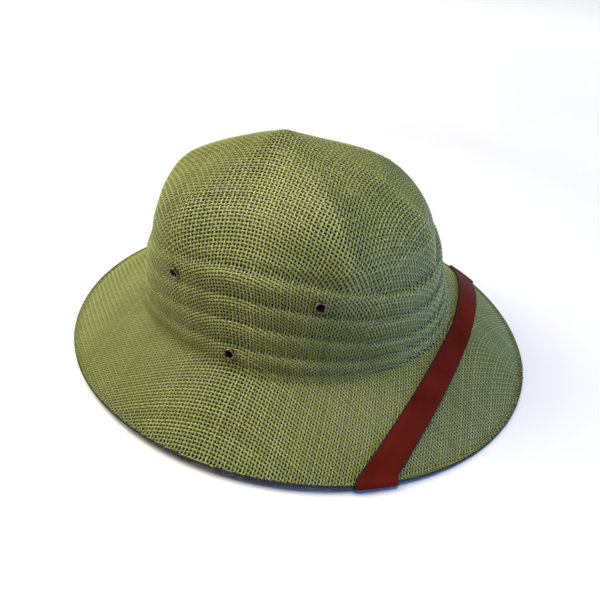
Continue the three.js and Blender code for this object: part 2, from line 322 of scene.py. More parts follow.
@dataclass(frozen=True)
class BronzeFinish:
    """Antique bronze of the eyelets: dark patina with worn copper patches."""

    name: str = "antique_bronze"
    patina: tuple = (0.060, 0.042, 0.028)
    worn: tuple = (0.420, 0.275, 0.165)
    patch_scale: float = 520.0
    patch_span: tuple = (0.35, 0.68)
    patina_roughness: float = 0.5
    worn_roughness: float = 0.3
    metallic: float = 0.9
    patch_strength: float = 0.2
    patch_depth: float = 0.1

    def material(self) -> Material:
        """Makes the bronze's material.

        Returns:
            The material.
        """
        shader = Shader(self.name)
        patches = shader.noise(shader.places("Object"), self.patch_scale)
        colour = shader.two_tone(patches, self.patina, self.worn, self.patch_span)
        roughness = shader.two_tone(
            patches, grey(self.patina_roughness), grey(self.worn_roughness), self.patch_span)
        shader.shade(Base_Color=colour, Roughness=roughness, Metallic=self.metallic)
        shader.bump(patches, self.patch_strength, self.patch_depth)
        return shader.material


@dataclass(frozen=True)
class FloorFinish:
    """Pale, matt studio floor, with a glow far out that makes up for the lamps' fall-off."""

    name: str = "pale_floor"
    dark: tuple = (0.91, 0.87, 0.81)
    light: tuple = (0.94, 0.90, 0.84)
    patch_scale: float = 3.0
    roughness: float = 0.9
    specular: float = 0.1
    glow: tuple = (0.42, 0.43, 0.44)
    glow_span: tuple = (0.4, 1.0)  # metres from the hat's middle

    def material(self) -> Material:
        """Makes the floor's material.

        Returns:
            The material.
        """
        shader = Shader(self.name)
        places = shader.places("Object")
        colour = shader.two_tone(
            shader.noise(places, self.patch_scale), self.dark, self.light)
        shader.shade(
            Base_Color=colour, Roughness=self.roughness, Specular_IOR_Level=self.specular)
        glow = shader.two_tone(shader.distance(places), grey(0), self.glow, self.glow_span)
        shader.shade(Emission_Color=glow, Emission_Strength=1.0)
        return shader.material


@dataclass(frozen=True)
class BackdropFinish:
    """Pale paper behind the floor that shines by itself, a little brighter towards its top."""

    name: str = "pale_backdrop"
    foot: tuple = (0.80, 0.81, 0.83)
    top: tuple = (0.92, 0.93, 0.94)
    height_span: tuple = (0.2, 0.8)  # shares of the height between which it brightens

    def material(self) -> Material:
        """Makes the backdrop's material.

        Returns:
            The material.
        """
        shader = Shader(self.name)
        height = shader.add("SeparateXYZ", Vector=shader.places("Generated")).outputs["Z"]
        colour = shader.two_tone(height, self.foot, self.top, self.height_span)
        shader.shade(Base_Color=(*grey(0), 1), Specular_IOR_Level=0.0)
        shader.shade(Emission_Color=colour, Emission_Strength=1.0)
        return shader.material


# Mesh helpers


def sines(angle: np.ndarray) -> np.ndarray:
    """Sine of an angle in degrees."""
    return np.sin(np.radians(angle))


def cosines(angle: np.ndarray) -> np.ndarray:
    """Cosine of an angle in degrees."""
    return np.cos(np.radians(angle))


def from_front(angle: np.ndarray) -> np.ndarray:
    """Angles without their side, from 0 at the front to 180 at the rear."""
    return np.abs((angle + 180) % 360 - 180)


def unit(vectors: np.ndarray) -> np.ndarray:
    """Vectors scaled to a length of one."""
    return vectors / np.maximum(np.linalg.norm(vectors, axis=-1, keepdims=True), TINY)


def new_piece(name: str, points: np.ndarray, faces: list, finishes: list) -> Object:
    """Makes a smooth mesh object.

    Args:
        name: the piece's name.
        points: vertices in millimetres.
        faces: lists of vertex numbers.
        finishes: materials, one for each slot.

    Returns:
        The object, linked into the scene.
    """
    mesh = bpy.data.meshes.new(name)
    mesh.from_pydata((np.asarray(points) * MM).tolist(), [], faces)
    for material in finishes:
        mesh.materials.append(material)
    mesh.polygons.foreach_set("use_smooth", np.ones(len(mesh.polygons), bool))
    mesh.update()
    piece = bpy.data.objects.new(name, mesh)
    bpy.context.scene.collection.objects.link(piece)
    return piece


def store(piece: Object, name: str, values: np.ndarray) -> None:
    """Stores a number on each point of a piece's mesh, for its material."""
    layer = piece.data.attributes.new(name, "FLOAT", "POINT")
    layer.data.foreach_set("value", np.asarray(values, np.float32))


def seat(piece: Object, node: str) -> Object:
    """Puts a piece on the hat in place of its solid.

    Args:
        piece: the finished piece.
        node: the solid that it stands for.

    Returns:
        The same piece.
    """
    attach(piece, BODY)
    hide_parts(node)
    LOG.info("%s: %d faces, stands for %s", piece.name, len(piece.data.polygons), node)
    return piece


def lattice_faces(rows: int, columns: int, wrap_columns: bool,
                  wrap_rows: bool = False) -> np.ndarray:
    """Quads over a lattice of vertices that are numbered row by row.

    Args:
        rows: number of rows.
        columns: number of columns.
        wrap_columns: the last column joins the first.
        wrap_rows: the last row joins the first.

    Returns:
        An array of four vertex numbers per quad.
    """
    i = np.arange(rows if wrap_rows else rows - 1)[:, None]
    j = np.arange(columns if wrap_columns else columns - 1)[None, :]
    below, beside = (i + 1) % rows, (j + 1) % columns
    corners = (i * columns + j, i * columns + beside, below * columns + beside, below * columns + j)
    return np.stack(np.broadcast_arrays(*corners), axis=-1).reshape(-1, 4)


# The hat's form


@dataclass(frozen=True)
class Section:
    """A level of the crown: heights above the crease at the side, front and rear, its share of
    the crease's size, how far the panels sink between the ridges, and how much of the fullness in
    the quarters it takes."""

    name: str
    side: float
    front: float
    rear: float
    spread: float
    scoop: float
    full: float


# Name, heights at the side, front and rear, spread, scoop and fullness
CROWN_SECTIONS = (
    Section("peak", 114.8, 114.8, 114.8, 0, 0, 0),
    Section("peak_round", 113.2, 113.2, 113.2, 0.045, 0, 0),
    Section("peak_foot", 109.6, 109.6, 109.6, 0.12, 0.3, 0),
    Section("top_inner", 104.9, 105.1, 105.1, 0.24, 1.4, 0),
    Section("top_middle", 98.5, 101, 100.2, 0.392, 2.8, 0),
    Section("top_outer", 92.2, 94.6, 93.6, 0.55, 3.8, 0),
    Section("shoulder_top", 86.2, 85, 88.2, 0.672, 4.4, 0.25),
    Section("shoulder", 79, 77.6, 81.6, 0.75, 4.8, 0.5),
    Section("shoulder_foot", 71.5, 70.5, 73.8, 0.81, 4.6, 0.8),
    Section("panel_low", 68, 60, 58, 0.852, 3.8, 1),
    Section("sill", 63.8, 41, 46.2, 0.868, 3, 1),
    Section("ledge_0", 62.3, 39.2, 36.2, 0.888, 1, 1),
    Section("lip_0", 58.8, 36, 33, 0.894, 0, 1),
    Section("tuck_0", 47.6, 25.5, 27.8, 0.89, 0, 1),
    Section("ledge_1", 46.2, 24.3, 26.6, 0.911, 0, 1),
    Section("lip_1", 42.7, 21.8, 24.1, 0.92, 0, 0.95),
    Section("tuck_1", 32.2, 11.9, 14.8, 0.918, 0, 0.8),
    Section("ledge_2", 30.8, 10.8, 13.7, 0.939, 0, 0.8),
    Section("lip_2", 27.3, 9, 11.9, 0.949, 0, 0.7),
    Section("tuck_2", 16.1, 4.7, 4.7, 0.947, 0, 0.5),
    Section("ledge_3", 14.7, 3.7, 3.7, 0.968, 0, 0.5),
    Section("lip_3", 11.2, 2.3, 2.3, 0.979, 0, 0.35),
    Section("tuck_3", 3.2, 1.2, 1.2, 0.981, 0, 0.15),
)


@dataclass(frozen=True)
class HatForm:
    """The outer form of the crown and brim, by the same sizes as the solids."""

    SLOPE_ANGLE = 1  # degrees and share of the brim's width over which its slopes are taken
    SLOPE_SHARE = 0.05
    SEARCH_ROUNDS = 20

    brim_width: float = 291
    brim_length: float = 332
    crease_width: float = 194.5
    crease_length: float = 221
    crease_height: float = 38.6
    crease_tilt: float = 0.028
    crown_height: float = 114.8
    peak_set_back: float = 12
    edge_lift: float = 5.7
    edge_flat_angle: float = 20
    brim_camber: float = 2
    straw_wall: float = 2
    binding_width: float = 2.2
    binding_height: float = 2.6
    gap: float = 0.3
    ridge_angles: tuple = (0, 45.5, 124, 180)
    panel_depths: tuple = (1.0, 1.7, 1.0)
    ridge_softness: float = 0.08
    ridge_swing: float = 3.5
    sill_spread: float = 0.868
    front_fullness: float = 0.02
    rear_fullness: float = 0.06

    def scoop_share(self, angle: np.ndarray) -> np.ndarray:
        """How far the panels sink between the ridges.

        Args:
            angle: angles round the hat.

        Returns:
            Shares, from 0 on a ridge to the panel's depth half way to the next.
        """
        ridges = np.array(self.ridge_angles)
        around = from_front(angle)
        i = np.clip(np.searchsorted(ridges, around, side="right") - 1, 0, len(ridges) - 2)
        across = (around - ridges[i]) / (ridges[i + 1] - ridges[i])
        sunk = np.hypot(4 * across * (1 - across), self.ridge_softness) - self.ridge_softness
        return sunk * np.array(self.panel_depths)[i]

    def crown(self, section: Section, angle: np.ndarray) -> np.ndarray:
        """Points of a crown section.

        Args:
            section: the level.
            angle: angles round the hat.

        Returns:
            One point per angle.
        """
        downwards = 2 * min(section.spread / self.sill_spread, 1) - 1
        swung = angle + self.ridge_swing * downwards * sines(2 * angle)
        along, across = cosines(swung), sines(swung)
        end = np.where(along > 0, section.front, section.rear)
        height = section.side + (end - section.side) * along**2
        quarter = np.where(along > 0, self.front_fullness, self.rear_fullness)
        size = section.spread * (1 + section.full * quarter * (2 * along * across) ** 2)
        x = self.crease_width / 2 * size * across
        y = -self.crease_length / 2 * size * along
        radius = np.hypot(x, y)
        inset = section.scoop * self.scoop_share(angle)
        shrink = np.where(radius > inset, 1 - inset / np.maximum(radius, TINY), 0)
        set_back = self.peak_set_back * (height / self.crown_height) ** 2
        lift = self.crease_height - self.crease_tilt * y + height
        return np.stack([x * shrink, y * shrink + set_back, lift], axis=-1)

    def edge(self, angle: np.ndarray, inset: float = 0, rise: float = 0) -> np.ndarray:
        """Points of the hat's outline.

        Args:
            angle: angles round the hat.
            inset: distance inwards.
            rise: distance up.

        Returns:
            One point per angle.
        """
        level = sines(self.edge_flat_angle) ** 2
        lift = self.edge_lift * np.maximum((sines(angle) ** 2 - level) / (1 - level), 0)
        x = (self.brim_width / 2 - inset) * sines(angle)
        y = -(self.brim_length / 2 - inset) * cosines(angle)
        return np.stack([x, y, lift + rise], axis=-1)

    def crease(self, angle: np.ndarray, inset: float = 0) -> np.ndarray:
        """Points of the crease between crown and brim.

        Args:
            angle: angles round the hat.
            inset: distance inwards.

        Returns:
            One point per angle.
        """
        x = (self.crease_width / 2 - inset) * sines(angle)
        y = -(self.crease_length / 2 - inset) * cosines(angle)
        return np.stack([x, y, self.crease_height - self.crease_tilt * y], axis=-1)

    def brim(self, angle: np.ndarray, out: np.ndarray, drop: float = 0) -> np.ndarray:
        """Points of the brim's upper face.

        Args:
            angle: angles round the hat.
            out: shares of the way from the crease, 0, to the edge, 1.
            drop: distance below the upper face.

        Returns:
            One point per angle and share.
        """
        angle, out = np.broadcast_arrays(np.asarray(angle, float), np.asarray(out, float))
        inset = self.binding_width + self.gap
        rim = self.edge(angle, inset, (self.binding_height + self.straw_wall) / 2)
        share = out[..., None]
        point = self.crease(angle) * (1 - share) + rim * share
        point[..., 2] += self.brim_camber * 4 * out * (1 - out) - drop
        return point

    def brim_along(self, angle: np.ndarray, out: np.ndarray) -> np.ndarray:
        """Vectors round the brim, towards greater angles."""
        return self.brim(angle + self.SLOPE_ANGLE, out) - self.brim(angle - self.SLOPE_ANGLE, out)

    def brim_up(self, angle: np.ndarray, out: np.ndarray) -> np.ndarray:
        """Finds which way the brim's upper face looks.

        Args:
            angle: angles round the hat.
            out: shares of the way from the crease, 0, to the edge, 1.

        Returns:
            Unit vectors, all upwards.
        """
        down = self.brim(angle, out + self.SLOPE_SHARE) - self.brim(angle, out - self.SLOPE_SHARE)
        up = unit(np.cross(down, self.brim_along(angle, out)))
        return np.where(up[..., 2:] < 0, -up, up)

    def brim_place(self, x: np.ndarray, y: np.ndarray) -> tuple[np.ndarray, np.ndarray]:
        """Finds the angle and share out at which the brim passes over places in plan.

        Args:
            x: places to the wearer's left.
            y: places to the rear.

        Returns:
            The angles and the shares out.
        """
        bearing = np.degrees(np.arctan2(x, -y))
        angle, out = bearing, np.zeros_like(bearing)
        for _ in range(self.SEARCH_ROUNDS):
            inner, outer = self.brim(angle, 0), self.brim(angle, 1)
            span = outer - inner
            reach = (x - inner[..., 0]) * span[..., 0] + (y - inner[..., 1]) * span[..., 1]
            out = reach / (span[..., 0] ** 2 + span[..., 1] ** 2)
            here = self.brim(angle, out)
            angle = angle + bearing - np.degrees(np.arctan2(here[..., 0], -here[..., 1]))
        return angle, out


class StrawSurface:
    """The crown and brim as one smooth sheet, looked up by level and angle.

    A level is the distance down from the peak, in millimetres, averaged round the hat. The pressed
    ledges are crisp at the front and sides and softer towards the rear.
    """

    STEP = 0.5  # between levels
    COLUMNS = 360
    ROUNDING = 2  # times that the sheet is evened out
    REAR_ROUNDING = 60  # the same for the soft sheet that is mixed in at the rear
    REAR_SOFTNESS = 0.65  # the soft sheet's share there
    REAR_ANGLES = (85, 125)  # from the front, where the softness starts and is full
    PAINTED_LIGHT_ROUNDING = 24  # times, for the sheet that bulges and hollows are measured from, which set painted light and shade on the straw
    DOWN_WEIGHT, AROUND_WEIGHT, OWN_WEIGHT = 0.2, 0.1, 0.4  # in each evening out
    BRIM_ROWS = 9
    EDGE_INSET = 0.35  # the straw ends this far inside the hat's outline
    OVERHANG = 8.0  # the sheet goes on past its edge, so that every strand can be cut there
    TABLE_MARGIN = 1e-3  # keeps a look-up inside the last row

    def __init__(self, form: HatForm) -> None:
        """Samples the form.

        Args:
            form: the hat's form.
        """
        angle = np.arange(self.COLUMNS) * (360 / self.COLUMNS)
        crown = [form.crown(section, angle) for section in CROWN_SECTIONS]
        brim = [form.brim(angle, out) for out in np.linspace(0, 1, self.BRIM_ROWS)]
        brim.append(form.edge(angle, self.EDGE_INSET, form.binding_height))
        beyond = brim[-1] + unit(brim[-1] - brim[-2]) * self.OVERHANG
        rows = np.array([*crown, *brim, beyond])
        depth = np.linalg.norm(np.diff(rows, axis=0), axis=-1).mean(axis=1)
        marks = np.concatenate([[0], np.cumsum(depth)])
        self.crease_level = marks[len(crown)]
        self.edge_level = marks[-2]
        self.levels = np.arange(0, marks[-1], self.STEP)
        i = np.clip(np.searchsorted(marks, self.levels, side="right") - 1, 0, len(marks) - 2)
        share = ((self.levels - marks[i]) / (marks[i + 1] - marks[i]))[:, None, None]
        sheet = rows[i] * (1 - share) + rows[i + 1] * share
        rearward = np.interp(from_front(angle), self.REAR_ANGLES, (0, self.REAR_SOFTNESS))
        crisp, soft = self.rounded(sheet, self.ROUNDING), self.rounded(sheet, self.REAR_ROUNDING)
        self.points = crisp + (soft - crisp) * rearward[:, None]
        self.normals = self.outward(self.points)
        # How far the form bulges, which paints light on ridges and lips and shade in hollows and
        # tucks of the straw
        hollow = self.rounded(self.points, self.PAINTED_LIGHT_ROUNDING) - self.points
        self.bulge = -np.sum(hollow * self.normals, axis=-1, keepdims=True)

    def rounded(self, points: np.ndarray, times: int) -> np.ndarray:
        """Evens out the sheet's ledges, crease and ridges.

        Args:
            points: the sheet's points by level and column.
            times: how often each point is mixed with its neighbours.

        Returns:
            The new points.
        """
        for _ in range(times):
            far_side = np.roll(points[1:2], self.COLUMNS // 2, axis=1)
            above = np.concatenate([far_side, points[:-1]])
            below = np.concatenate([points[1:], 2 * points[-1:] - points[-2:-1]])
            beside = np.roll(points, 1, axis=1) + np.roll(points, -1, axis=1)
            points = (self.DOWN_WEIGHT * (above + below) + self.AROUND_WEIGHT * beside
                      + self.OWN_WEIGHT * points)
        return points

    @staticmethod
    def outward(points: np.ndarray) -> np.ndarray:
        """Finds which way the sheet faces.

        Args:
            points: the sheet's points by level and column.

        Returns:
            Unit normals on its outer side.
        """
        down = np.gradient(points, axis=0)
        around = np.roll(points, -1, axis=1) - np.roll(points, 1, axis=1)
        normals = unit(np.cross(down, around))
        normals[0] = (0, 0, 1)
        return normals

    def look_up(self, table: np.ndarray, level: np.ndarray, angle: np.ndarray) -> np.ndarray:
        """Interpolates a table of the sheet.

        Args:
            table: points or normals of the sheet.
            level: levels.
            angle: angles round the hat.

        Returns:
            One row of the table per level and angle.
        """
        row = np.clip(level / self.STEP, 0, len(self.levels) - 1 - self.TABLE_MARGIN)
        column = (angle % 360) * (self.COLUMNS / 360)
        i, j = row.astype(int), column.astype(int) % self.COLUMNS
        beside = (j + 1) % self.COLUMNS
        down, right = (row - i)[..., None], (column - np.floor(column))[..., None]
        upper = table[i, j] * (1 - right) + table[i, beside] * right
        lower = table[i + 1, j] * (1 - right) + table[i + 1, beside] * right
        return upper * (1 - down) + lower * down

    def column(self, angle: float) -> np.ndarray:
        """The sheet's points straight down one angle."""
        return self.points[:, round(angle * self.COLUMNS / 360) % self.COLUMNS]

    def longest_run(self) -> float:
        """Greatest distance from the peak down over the sheet."""
        return np.linalg.norm(np.diff(self.points, axis=0), axis=-1).sum(axis=0).max()


# Woven straw


class Direction(Enum):
    """The two directions of the weave."""

    WARP = "warp"
    WEFT = "weft"


class Region(Enum):
    """The two parts of the hat that are woven."""

    CROWN = "crown"
    BRIM = "brim"


class StrandMesh:
    """Strands of straw gathered into one mesh."""

    # Corners of a strand's section, as shares of its width and thickness, and how much painted shade
    # each takes
    SECTION = ((-0.5, -0.2), (-0.22, 0.46), (0.22, 0.46), (0.5, -0.2), (0.0, -0.5))
    SHADES = (1.0, 0.0, 0.0, 1.0, 1.0)
    FIBRE_SHIFT = 53.0  # moves the fibres of each strand along from those of the last

    def __init__(self) -> None:
        """Starts an empty mesh."""
        self.points: list[np.ndarray] = []
        self.faces: list[list[int]] = []
        self.tints: list[np.ndarray] = []
        self.lengths: list[np.ndarray] = []
        self.count = 0

    def add(self, line: np.ndarray, up: np.ndarray, width: np.ndarray, thickness: float,
            tint: np.ndarray) -> None:
        """Adds one strand.

        Args:
            line: points along the strand's middle.
            up: outward unit vectors there.
            width: widths there.
            thickness: the strand's thickness.
            tint: the straw's places there between dark, 0, and light, 1.
        """
        along = unit(np.gradient(line, axis=0))
        aside = unit(np.cross(along, up))
        above = np.cross(aside, along)
        corners = [
            line + aside * (width * x)[:, None] + above * (thickness * z) for x, z in self.SECTION]
        sides = len(self.SECTION)
        ring = np.stack(corners, axis=1).reshape(-1, 3)
        quads = lattice_faces(len(line), sides, wrap_columns=True)[:, ::-1] + self.count
        first = list(range(self.count, self.count + sides))
        last = [number + len(ring) - sides for number in first]
        self.faces += [*quads.tolist(), first, last[::-1]]
        self.points.append(ring)
        run = np.concatenate([[0], np.cumsum(np.linalg.norm(np.diff(line, axis=0), axis=-1))])
        self.lengths.append(np.repeat(run + self.FIBRE_SHIFT * len(self.lengths), sides))
        self.tints.append(np.repeat(tint, sides))
        self.count += len(ring)

    def piece(self, name: str, finish: Material) -> Object:
        """Makes the mesh object.

        Args:
            name: the piece's name.
            finish: the straw's material.

        Returns:
            The object, with tints, shades and the run along each strand stored on it.
        """
        piece = new_piece(name, np.concatenate(self.points), self.faces, [finish])
        mesh = piece.data
        smooth = [len(face) != len(self.SECTION) for face in self.faces]
        mesh.polygons.foreach_set("use_smooth", smooth)
        store(piece, "tint", np.concatenate(self.tints))
        store(piece, "shade", np.tile(self.SHADES, self.count // len(self.SHADES)))
        run = np.concatenate(self.lengths)
        corners = np.zeros(len(mesh.loops), np.int32)
        mesh.loops.foreach_get("vertex_index", corners)
        around = (corners % len(self.SECTION)) / len(self.SECTION)
        places = np.stack([run[corners], around], axis=-1)
        layer = mesh.uv_layers.new(name="strand")
        layer.data.foreach_set("uv", places.astype(np.float32).ravel())
        return piece


@dataclass(frozen=True)
class PaintedLightPatch:
    """A patch of painted light or painted shade on the straw, on both sides of the hat: its angle
    and level, how far it spreads in each, and how much it shifts the tint."""

    angle: float
    level: float
    turn: float
    reach: float
    shift: float

    def at(self, level: np.ndarray, angle: np.ndarray) -> np.ndarray:
        """The shift of the tint at places on the hat.

        Args:
            level: the places' levels.
            angle: their angles.

        Returns:
            One shift per place.
        """
        around = (from_front(angle) - self.angle) / self.turn
        down = (level - self.level) / self.reach
        return self.shift * np.exp(-(around**2) - down**2)


@dataclass
class StrawWeave:
    """The crown's and brim's plain weave, draped over the form as one square cloth.

    Each strand has its own width and tint, with painted light on its crests and painted shade where
    it dips.
    Its tint also takes painted light where the form bulges, painted shade in its hollows, and
    patches of both.
    """

    # Numbers that give each piece its own random draws
    SEEDS = {Region.CROWN: 5, Region.BRIM: 4, Direction.WARP: 97, Direction.WEFT: 101}
    # The search for the crossings' places: its rounds, the longest strides in level and share,
    # the small change of share that slopes are taken over, and the highest level
    ROUNDS = 40
    LEVEL_STRIDE = 8.0
    SHARE_STRIDE = 0.1
    SHARE_NUDGE = 1e-4
    TOP_LEVEL = 0.01
    ASIDE = 1  # degrees each side of a column over which the way round is measured

    surface: StrawSurface
    eyelets: list["Eyelet"]
    side_pitch: float = 2.36
    end_pitch: float = 2.5
    strand_width: float = 1.7
    strand_thickness: float = 0.8
    spacing_share: float = 0.73
    width_spread: float = 0.08
    wander: float = 0.07
    tint_spread: float = 0.13
    mean_tint: float = 0.37
    crest_painted_light: float = 0.3  # painted highlight: tint gained on a crest, and painted shade: tint lost in a dip
    bulge_painted_light: float = 1.0  # painted light and shade: tint gained per millimetre that the form bulges, lost where it hollows
    # Patches of painted light and painted shade on the straw
    patches: tuple[PaintedLightPatch, ...] = (
        # Angle, level, turn, reach and shift
        PaintedLightPatch(80, 54, 36, 36, 0.44),
        PaintedLightPatch(90, 92, 18, 18, 0.2),
        PaintedLightPatch(51, 58, 7, 18, 0.24),
        PaintedLightPatch(38, 66, 9, 18, -0.38),
        PaintedLightPatch(22, 88, 18, 26, -0.1),
        PaintedLightPatch(57, 96, 17, 20, -0.45),
        PaintedLightPatch(130, 98, 14, 20, -0.35),
        PaintedLightPatch(50, 152, 24, 24, -0.35),
        PaintedLightPatch(53, 204, 13, 20, 0.22),
        PaintedLightPatch(8, 217, 22, 24, -0.13),
    )
    eyelet_clearance: float = 3.2
    crease_overlap: float = 0.6
    seed: int = 7
    finish: StrawFinish = field(default_factory=StrawFinish)

    # The net: the threads' numbers, and at each crossing the level, the place, the way up,
    # the shift of the tint by painted light and shade, and the room to the nearest eyelet
    numbers: np.ndarray = field(init=False)
    level: np.ndarray = field(init=False)
    places: np.ndarray = field(init=False)
    up: np.ndarray = field(init=False)
    painted_tint_shift: np.ndarray = field(init=False)
    clear: np.ndarray = field(init=False)

    def build(self) -> list[Object]:
        """Weaves the crown and the brim.

        Returns:
            The pieces, one for each region and direction.
        """
        self.lay_net()
        finish = self.finish.material()
        return [
            self.weave(region, direction, finish) for region in Region for direction in Direction]

    def lay_net(self) -> None:
        """Finds where every crossing of the cloth lies on the hat."""
        half = math.ceil(self.surface.longest_run() / self.side_pitch)
        self.numbers = np.arange(-half, half + 1)
        left, front = np.meshgrid(
            self.numbers * self.side_pitch, self.numbers * self.end_pitch, indexing="ij")
        level = np.zeros_like(left)
        angle = np.zeros_like(left)
        for end, chosen in ((0, front >= 0), (180, front < 0)):
            level[chosen], share = self.settle(np.abs(left[chosen]), np.abs(front[chosen]), end)
            angle[chosen] = 90 - 90 * share if end == 0 else 90 + 90 * share
        angle = np.where(left < 0, -angle, angle)
        self.level = level
        self.places = self.surface.look_up(self.surface.points, level, angle)
        self.up = self.surface.look_up(self.surface.normals, level, angle)
        # Painted light and shade in the tint: paler where the form bulges, darker in its hollows,
        # and in patches
        self.painted_tint_shift = self.bulge_painted_light * self.surface.look_up(self.surface.bulge, level, angle)
        self.painted_tint_shift += sum(patch.at(level, angle) for patch in self.patches)[..., None]
        draws = np.random.default_rng(self.seed)
        jitter = draws.normal(0, self.wander, self.places.shape)
        jitter -= self.up * np.sum(jitter * self.up, axis=-1, keepdims=True)
        self.places = self.places + jitter
        self.clear = np.full(level.shape, self.side_pitch)
        for eyelet in self.eyelets:
            room = eyelet.distance(self.places) - self.eyelet_clearance
            self.clear = np.minimum(self.clear, room)

    @staticmethod
    def swing(share: np.ndarray, slope: np.ndarray) -> np.ndarray:
        """A curve from 1 to 0 that starts level and ends with a given fall."""
        return 1 - 3 * share**2 + 2 * share**3 + slope * (share**2 - share**3)

    def settle(self, left: np.ndarray, front: np.ndarray,
               end: int) -> tuple[np.ndarray, np.ndarray]:
        """Finds the places of the crossings in one quarter of the cloth.

        A thread keeps its spacing to the next one on the side panel, on the front or rear panel
        and over the top. The surplus cloth between these is taken up by skewing the meshes.

        Args:
            left: distances in the cloth from its middle towards the wearer's side.
            front: distances in the cloth from its middle towards the end.
            end: angle of the end, 0 for the front and 180 for the rear.

        Returns:
            The crossings' levels, and their shares of the way from the side to the end.
        """
        surface = self.surface
        quarter = np.pi / 2

        def run(angle: float) -> np.ndarray:
            """Distance down a column from the peak."""
            steps = np.linalg.norm(np.diff(surface.column(angle), axis=0), axis=-1)
            return np.concatenate([[0], np.cumsum(steps)])

        def pace(angle: float) -> np.ndarray:
            """Distance round the hat per radian, down a column."""
            way = surface.column(angle + self.ASIDE) - surface.column(angle - self.ASIDE)
            return np.linalg.norm(way, axis=-1) / np.radians(2 * self.ASIDE)

        side_run, end_run = run(90), run(end)
        side_slope = quarter * pace(end) / np.maximum(side_run, surface.STEP / 2)
        end_slope = quarter * pace(90) / np.maximum(end_run, surface.STEP / 2)

        def cloth(level: np.ndarray, share: np.ndarray) -> tuple[np.ndarray, np.ndarray]:
            """The place in the cloth of a place on the hat."""
            read = [np.interp(level, surface.levels, row)
                    for row in (side_run, end_run, side_slope, end_slope)]
            return read[0] * self.swing(share, read[2]), read[1] * self.swing(1 - share, read[3])

        level = np.clip(np.hypot(left, front), surface.STEP, surface.levels[-1])
        share = np.arctan2(front, left) / quarter
        small_level, small_share = surface.STEP, self.SHARE_NUDGE
        for _ in range(self.ROUNDS):
            x, y = cloth(level, share)
            x_level, y_level = cloth(level - small_level, share)
            x_share, y_share = cloth(level, share + small_share)
            a, b = (x - x_level) / small_level, (x_share - x) / small_share
            c, d = (y - y_level) / small_level, (y_share - y) / small_share
            determinant = a * d - b * c
            miss_x, miss_y = left - x, front - y
            down = np.clip(
                (d * miss_x - b * miss_y) / determinant, -self.LEVEL_STRIDE, self.LEVEL_STRIDE)
            round_by = np.clip(
                (a * miss_y - c * miss_x) / determinant, -self.SHARE_STRIDE, self.SHARE_STRIDE)
            level = np.clip(level + down, self.TOP_LEVEL, surface.levels[-1])
            share = np.clip(share + round_by, 0, 1)
        return level, share

    def kept(self, region: Region) -> np.ndarray:
        """Marks where a region is woven.

        Args:
            region: crown or brim.

        Returns:
            A number at each crossing that is positive where the region is woven.
        """
        above_crease = self.surface.crease_level - self.level
        if region is Region.CROWN:
            return np.minimum(above_crease + self.crease_overlap, self.clear)
        return np.minimum(self.crease_overlap - above_crease, self.surface.edge_level - self.level)

    def weave(self, region: Region, direction: Direction, finish: Material) -> Object:
        """Weaves the strands of one direction in one region.

        Args:
            region: crown or brim.
            direction: warp or weft.
            finish: the straw's material.

        Returns:
            The piece.
        """
        keep, places, up, painted_tint_shift, over = self.kept(region), self.places, self.up, self.painted_tint_shift, 1.0
        if direction is Direction.WEFT:
            keep, places, up, painted_tint_shift = (table.swapaxes(0, 1) for table in (keep, places, up, painted_tint_shift))
            over = -1.0
        along = unit(np.gradient(places, axis=1))
        beside = np.gradient(places, axis=0)
        beside = beside - along * np.sum(beside * along, axis=-1, keepdims=True)
        spacing = np.linalg.norm(beside, axis=-1) * self.spacing_share
        ripple = over * np.where((self.numbers[:, None] + self.numbers[None, :]) % 2, 1.0, -1.0)
        lift = (ripple / 2 - 1) * self.strand_thickness
        lines = places + up * lift[..., None]
        draws = np.random.default_rng([self.seed, self.SEEDS[region], self.SEEDS[direction]])
        mesh = StrandMesh()
        for number in range(len(self.numbers)):
            # Each strand's own random tint, plus painted light and shade: from the form's bulges and
            # hollows, from the patches, lighter on crests and darker in dips
            tints = draws.normal(self.mean_tint, self.tint_spread) + painted_tint_shift[number]
            tints = np.clip(tints + self.crest_painted_light * ripple[number][:, None], 0, 1)
            width = self.strand_width * draws.normal(1, self.width_spread)
            widths = np.minimum(width, spacing[number])
            for run in self.runs(keep[number]):
                line, outward = self.between(lines[number], run), self.between(up[number], run)
                across, tint = self.between(widths[:, None], run), self.between(tints, run)
                mesh.add(line, unit(outward), across[:, 0], self.strand_thickness, tint[:, 0])
        piece = mesh.piece(f"{region.value}_{direction.value}_strands", finish)
        return seat(piece, region.value)

    @staticmethod
    def between(row: np.ndarray, run: np.ndarray) -> np.ndarray:
        """Mixes neighbours in a row of vectors.

        Args:
            row: the vectors.
            run: places in the row, whole or fractional.

        Returns:
            One vector per place.
        """
        i = np.clip(run.astype(int), 0, len(row) - 2)
        share = (run - i)[:, None]
        return row[i] * (1 - share) + row[i + 1] * share

    @staticmethod
    def runs(keep: np.ndarray) -> list[np.ndarray]:
        """Cuts a row of crossings into the stretches that are kept.

        Args:
            keep: a number per crossing that is positive where the strand is kept.

        Returns:
            The places in the row of each stretch's points. The ends are fractions, where the
            number passes zero.
        """
        inside = keep > 0
        starts = np.flatnonzero(inside[1:] & ~inside[:-1]) + 1
        ends = np.flatnonzero(inside[:-1] & ~inside[1:])
        stretches = []
        for start, end in zip(starts, ends):
            before = start - keep[start] / (keep[start] - keep[start - 1])
            after = end + keep[end] / (keep[end] - keep[end + 1])
            stretches.append(np.concatenate([[before], np.arange(start, end + 1), [after]]))
        return stretches


# Brim edge binding


